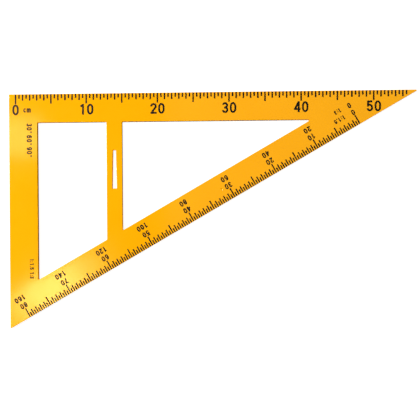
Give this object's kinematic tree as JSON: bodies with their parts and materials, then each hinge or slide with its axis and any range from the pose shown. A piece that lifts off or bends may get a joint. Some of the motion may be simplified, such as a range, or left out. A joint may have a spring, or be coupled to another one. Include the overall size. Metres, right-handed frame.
{
  "type": "set square",
  "caption": "Flat 30-60-90 blackboard set square with two openings, a crossbar with a tapered slot, and printed centimetre and ratio scales.",
  "frame": {"origin": "on the underside, under the middle of the outline's bounding box", "axes": "+X along the long edge from the right-angle corner to the 30 degree tip, +Y towards the long edge, +Z out of the printed face"},
  "size_m": [0.5688, 0.3292, 0.0041],
  "materials": {
    "yellow_plastic": "semi-gloss moulded",
    "black_ink": "printed ink film"
  },
  "bodies": {
    "root": {"moulded_frame": "yellow_plastic", "cm_half_ticks": "black_ink", "cm_unit_ticks": "black_ink", "cm_five_ticks": "black_ink", "cm_ten_ticks": "black_ink", "cm_numerals": "black_ink", "cm_mark": "black_ink", "ratio_half_ticks": "black_ink", "ratio_unit_ticks": "black_ink", "ratio_five_ticks": "black_ink", "ratio_ten_ticks": "black_ink", "ratio_inner_numerals": "black_ink", "ratio_outer_numerals": "black_ink", "ratio_inner_label": "black_ink", "ratio_outer_label": "black_ink", "angle_legend": "black_ink", "scale_legend": "black_ink"}
  },
  "joints": []
}
